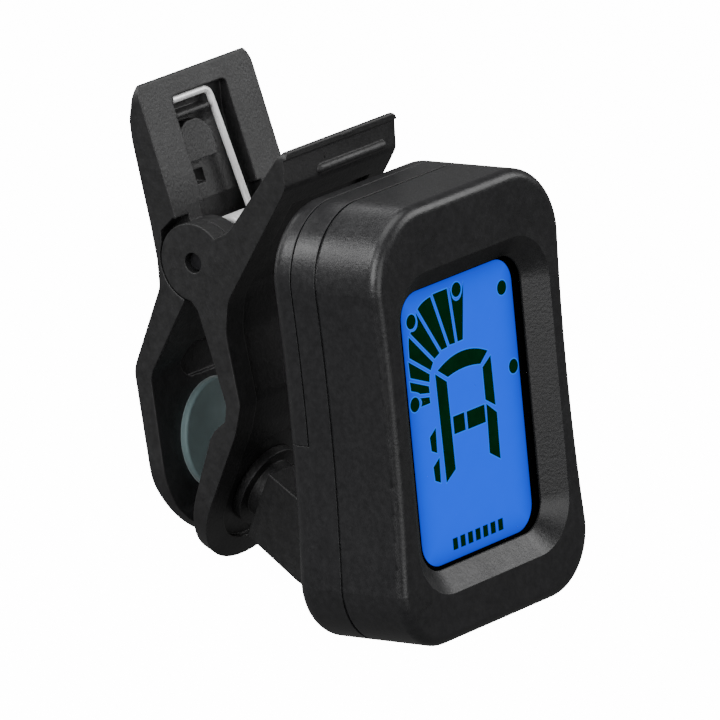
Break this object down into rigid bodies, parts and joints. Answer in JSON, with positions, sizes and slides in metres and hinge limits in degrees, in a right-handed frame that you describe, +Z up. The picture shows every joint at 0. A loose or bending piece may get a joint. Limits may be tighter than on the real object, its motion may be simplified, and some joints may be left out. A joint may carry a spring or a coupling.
{
  "type": "clip-on instrument tuner",
  "caption": "Clip-on instrument tuner: sprung clip with padded jaws, swivel and tilt fork, and a rounded housing with a backlit display, sliding battery cover and side button.",
  "frame": {"origin": "midway between the two jaw pads, where the instrument is gripped", "axes": "X across the clip, -Y the way the display faces, +Z up"},
  "size_m": [0.0322, 0.0391, 0.0576],
  "materials": {
    "black_abs": "fine moulded grain",
    "housing_abs": "fine moulded grain, satin",
    "dark_steel": "blackened",
    "spring_wire": "bright drawn wire",
    "pad_rubber": "soft matte",
    "screw_steel": "zinc plated",
    "clear_lens": "clear, gloss",
    "lcd": "lit from behind",
    "light_guide": "milky",
    "led_white": "gloss",
    "contact_rubber": "layered",
    "board_green": "solder mask",
    "chip_black": "epoxy",
    "button_abs": "satin",
    "cell_nickel": "brushed nickel",
    "contact_brass": "bright"
  },
  "bodies": {
    "front_clip": {"front_lever": "black_abs", "front_pad": "pad_rubber", "pivot_pin": "dark_steel", "torsion_spring": "spring_wire"},
    "rear_clip": {"rear_lever": "black_abs", "rear_pad": "pad_rubber"},
    "fork": {"swivel_fork": "black_abs", "swivel_washer": "screw_steel", "swivel_screw": "screw_steel", "tilt_pin": "dark_steel"},
    "housing": {"front_shell": "housing_abs", "back_shell": "housing_abs", "window_lens": "clear_lens", "lcd_glass": "lcd", "backlight_panel": "light_guide", "backlight_leds": "led_white", "zebra_strip": "contact_rubber", "main_board": "board_green", "controller_chip": "chip_black", "crystal": "cell_nickel", "chip_parts": "chip_black", "tact_switch": "chip_black", "coin_cell": "cell_nickel", "contact_negative": "contact_brass", "contact_positive": "contact_brass", "pickup_disc": "contact_brass", "case_screws": "screw_steel"},
    "battery_cover": {"battery_cover": "housing_abs"},
    "power_button": {"power_button": "button_abs"}
  },
  "joints": [
    {"name": "jaw_hinge", "type": "hinge", "parent": "front_clip", "child": "rear_clip", "pos_m": [0, -0.0044, 0.0228], "axis": [1, 0, 0], "range_deg": [0, 38], "stiffness_Nm_per_rad": 0.12, "springref_deg": -40.11, "deforming": ["torsion_spring"]},
    {"name": "swivel", "type": "hinge", "parent": "front_clip", "child": "fork", "pos_m": [0, -0.0035, -0.0039], "axis": [0, -0.8829, -0.4695], "continuous": true},
    {"name": "tilt", "type": "hinge", "parent": "fork", "child": "housing", "pos_m": [0, -0.012, -0.0095], "axis": [1, 0, 0], "range_deg": [0, 80]},
    {"name": "cover_slide", "type": "slide", "parent": "housing", "child": "battery_cover", "axis": [0, 0, 1], "range_m": [0, 0.026]},
    {"name": "button_press", "type": "slide", "parent": "housing", "child": "power_button", "axis": [-1, 0, 0], "range_m": [0, 0.0003], "stiffness_N_per_m": 3000}
  ]
}
